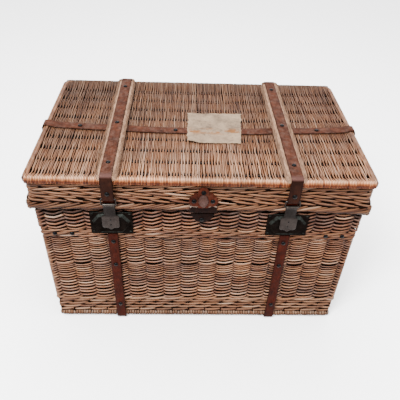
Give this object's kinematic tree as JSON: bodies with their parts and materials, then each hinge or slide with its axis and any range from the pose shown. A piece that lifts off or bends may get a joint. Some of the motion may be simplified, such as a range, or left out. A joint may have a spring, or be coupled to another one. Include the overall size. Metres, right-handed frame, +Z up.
{
  "type": "wicker trunk",
  "caption": "Rectangular woven willow trunk with an overlapping hinged lid, leather straps, hasp locks on swinging rings, and drop handles at both ends.",
  "frame": {"origin": "on the floor, under the middle of the trunk", "axes": "+X along the trunk to the right, -Y out of the front with the locks, +Z up"},
  "size_m": [0.906, 0.5734, 0.5788],
  "materials": {
    "weave": "aged willow rods, satin",
    "base_weave": "aged willow rods, satin",
    "wale_rods": "thick aged willow rods, satin",
    "lid_weave": "dusty willow rods",
    "batten_wood": "worn bare wood",
    "strap_leather_dusty": "dry dusty leather",
    "strap_leather": "red-brown leather, scuffed",
    "grip_leather": "rolled and sewn leather",
    "patch_leather": "worn leather",
    "label_canvas": "bare stained canvas label",
    "dark_iron": "near-black with green tarnish at the edges",
    "worn_pewter": "grey-brown tarnished metal",
    "ring_wire": "tarnished wire",
    "stud_iron": "dark blue-grey domed studs",
    "washer_steel": "dull washers"
  },
  "bodies": {
    "trunk": {"base_panel": "base_weave", "body_studs": "stud_iron", "body_washers": "washer_steel", "collar": "wale_rods", "foot_wale": "wale_rods", "front_strap_left": "strap_leather", "front_strap_right": "strap_leather", "handle_tabs_left": "strap_leather", "handle_tabs_right": "strap_leather", "hinge_leather_left": "strap_leather", "hinge_leather_right": "strap_leather", "lock_case_left": "dark_iron", "lock_case_right": "dark_iron", "lock_plate_left": "dark_iron", "lock_plate_right": "dark_iron", "lock_rivets": "dark_iron", "lower_patch": "patch_leather", "mid_wale": "wale_rods", "rear_strap_left": "strap_leather", "rear_strap_right": "strap_leather", "rim_border": "wale_rods", "siding_front": "weave", "siding_left": "weave", "siding_rear": "weave", "siding_right": "weave", "sole_strap_left": "strap_leather", "sole_strap_right": "strap_leather", "upper_siding_front": "weave", "upper_siding_left": "weave", "upper_siding_rear": "weave", "upper_siding_right": "weave"},
    "lid": {"lid_panel": "lid_weave", "lid_skirt": "wale_rods", "lid_border": "wale_rods", "batten_left": "batten_wood", "batten_right": "batten_wood", "lid_strap_left": "strap_leather_dusty", "lid_strap_right": "strap_leather_dusty", "front_drop_left": "strap_leather", "front_drop_right": "strap_leather", "rear_drop_left": "strap_leather", "rear_drop_right": "strap_leather", "cross_strap": "strap_leather_dusty", "cross_strap_ends": "strap_leather_dusty", "label": "label_canvas", "upper_patch": "patch_leather", "keeper": "patch_leather", "lid_studs": "stud_iron", "lid_washers": "washer_steel"},
    "ring_left": {"ring_left": "ring_wire"},
    "ring_right": {"ring_right": "ring_wire"},
    "hasp_left": {"hasp_left": "worn_pewter"},
    "hasp_right": {"hasp_right": "worn_pewter"},
    "handle_left": {"handle_grip_left": "grip_leather", "handle_loops_left": "ring_wire"},
    "handle_right": {"handle_grip_right": "grip_leather", "handle_loops_right": "ring_wire"}
  },
  "joints": [
    {"name": "lid_hinge", "type": "hinge", "parent": "trunk", "child": "lid", "pos_m": [0, 0.2778, 0.4563], "axis": [-1, 0, 0], "range_deg": [0, 180], "deforming": ["hinge_leather_left", "hinge_leather_right"]},
    {"name": "ring_left_swing", "type": "hinge", "parent": "lid", "child": "ring_left", "pos_m": [-0.237, -0.28055, 0.5015], "axis": [-1, 0, 0], "range_deg": [0, 100]},
    {"name": "hasp_left_swing", "type": "hinge", "parent": "ring_left", "child": "hasp_left", "pos_m": [-0.237, -0.28055, 0.482], "axis": [-1, 0, 0], "range_deg": [0, 85]},
    {"name": "ring_right_swing", "type": "hinge", "parent": "lid", "child": "ring_right", "pos_m": [0.233, -0.28055, 0.5015], "axis": [-1, 0, 0], "range_deg": [0, 100]},
    {"name": "hasp_right_swing", "type": "hinge", "parent": "ring_right", "child": "hasp_right", "pos_m": [0.233, -0.28055, 0.482], "axis": [-1, 0, 0], "range_deg": [0, 85]},
    {"name": "handle_left_swing", "type": "hinge", "parent": "trunk", "child": "handle_left", "pos_m": [-0.44005, 0, 0.334], "axis": [0, 1, 0], "range_deg": [0, 140]},
    {"name": "handle_right_swing", "type": "hinge", "parent": "trunk", "child": "handle_right", "pos_m": [0.44005, 0, 0.334], "axis": [0, -1, 0], "range_deg": [0, 140]}
  ]
}
